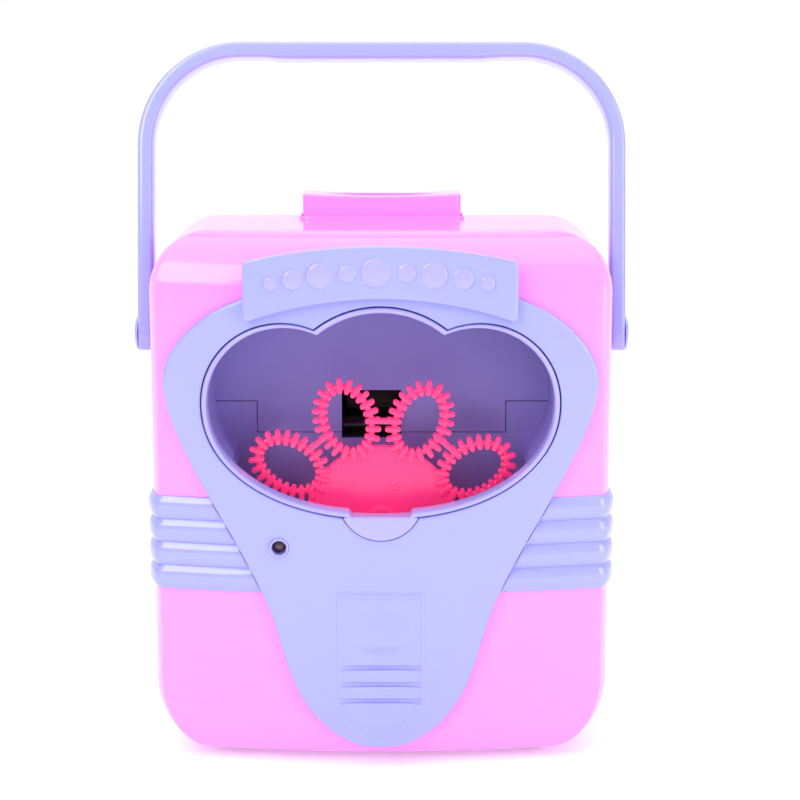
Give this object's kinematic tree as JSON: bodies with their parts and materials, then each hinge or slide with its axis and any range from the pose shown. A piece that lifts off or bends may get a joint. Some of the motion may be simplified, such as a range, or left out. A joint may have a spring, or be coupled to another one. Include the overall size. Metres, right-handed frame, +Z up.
{
  "type": "toy bubble machine",
  "caption": "Child's battery bubble machine with a rounded case, bail handle, push key and a turning wheel of wands in an open front chamber.",
  "frame": {"origin": "on the floor under the middle of the whole object's box at rest", "axes": "+Z up, -Y towards the front with the chamber, +X to the right seen from the front"},
  "size_m": [0.184, 0.1089, 0.258],
  "materials": {
    "shell_pink": "gloss",
    "trim_lavender": "gloss",
    "pale_violet": "gloss",
    "chamber_violet": "satin",
    "wheel_rose": "gloss",
    "plated_steel": "satin",
    "ivory_plastic": "satin",
    "brass_gear": "satin",
    "dark_plastic": "satin",
    "rubber_black": "matte",
    "board_green": "satin",
    "lamp_red": "gloss",
    "cell_jacket": "gloss"
  },
  "bodies": {
    "case": {"front_shell": "shell_pink", "rear_shell": "shell_pink", "belt_front_left": "trim_lavender", "belt_front_right": "trim_lavender", "belt_rear": "trim_lavender", "front_panel": "trim_lavender", "name_banner": "trim_lavender", "banner_bubbles": "pale_violet", "chamber_liner": "chamber_violet", "solution_tank": "chamber_violet", "shaft_seal": "rubber_black", "gearbox_base": "ivory_plastic", "gearbox_cover": "ivory_plastic", "idler_pin": "plated_steel", "gear_motor": "plated_steel", "fan_housing": "dark_plastic", "fan_motor": "plated_steel", "key_collar": "shell_pink", "key_spring": "plated_steel", "push_switch": "dark_plastic", "circuit_board": "board_green", "lamp_ferrule": "trim_lavender", "indicator_lamp": "lamp_red", "battery_box": "ivory_plastic", "battery_contacts": "plated_steel", "cell_1": "cell_jacket", "cell_2": "cell_jacket", "cell_3": "cell_jacket", "cell_4": "cell_jacket", "pivot_pin_left": "plated_steel", "pivot_pin_right": "plated_steel", "case_screw_1": "plated_steel", "case_screw_2": "plated_steel", "case_screw_3": "plated_steel", "case_screw_4": "plated_steel", "foot_1": "rubber_black", "foot_2": "rubber_black", "foot_3": "rubber_black", "foot_4": "rubber_black"},
    "handle_bail": {"handle": "trim_lavender", "pivot_cap_left": "trim_lavender", "pivot_cap_right": "trim_lavender"},
    "key": {"power_key": "shell_pink"},
    "wheel": {"bubble_wheel": "wheel_rose", "wheel_shaft": "plated_steel", "wheel_cap": "wheel_rose", "wheel_gear": "ivory_plastic"},
    "idler": {"idler_gear": "ivory_plastic"},
    "pinion": {"motor_pinion": "brass_gear"},
    "fan": {"fan_impeller": "dark_plastic"},
    "door": {"battery_door": "shell_pink", "door_screw": "plated_steel"}
  },
  "joints": [
    {"name": "handle_swing", "type": "hinge", "parent": "case", "child": "handle_bail", "pos_m": [0, 0.00245, 0.151], "axis": [1, 0, 0], "range_deg": [-99.5, 120.5]},
    {"name": "key_press", "type": "slide", "parent": "case", "child": "key", "axis": [0, 0, -1], "range_m": [0, 0.003], "stiffness_N_per_m": 700, "springref_m": -0.002, "deforming": ["key_spring"]},
    {"name": "wheel_spin", "type": "hinge", "parent": "case", "child": "wheel", "pos_m": [0, 0, 0.0876], "axis": [0, 1, 0], "continuous": true},
    {"name": "idler_spin", "type": "hinge", "parent": "case", "child": "idler", "pos_m": [0.02515, 0, 0.0876], "axis": [0, 1, 0], "continuous": true},
    {"name": "pinion_spin", "type": "hinge", "parent": "case", "child": "pinion", "pos_m": [0.02515, 0, 0.10615], "axis": [0, 1, 0], "continuous": true},
    {"name": "fan_spin", "type": "hinge", "parent": "case", "child": "fan", "pos_m": [0, 0.01795, 0.136], "axis": [1, 0, 0], "continuous": true},
    {"name": "door_swing", "type": "hinge", "parent": "case", "child": "door", "pos_m": [0, 0.0507, 0.0167], "axis": [-1, 0, 0], "range_deg": [0, 95]}
  ],
  "couplings": [
    {"joint": "idler_spin", "follows": "wheel_spin", "ratio": -4},
    {"joint": "pinion_spin", "follows": "wheel_spin", "ratio": 14.4}
  ]
}
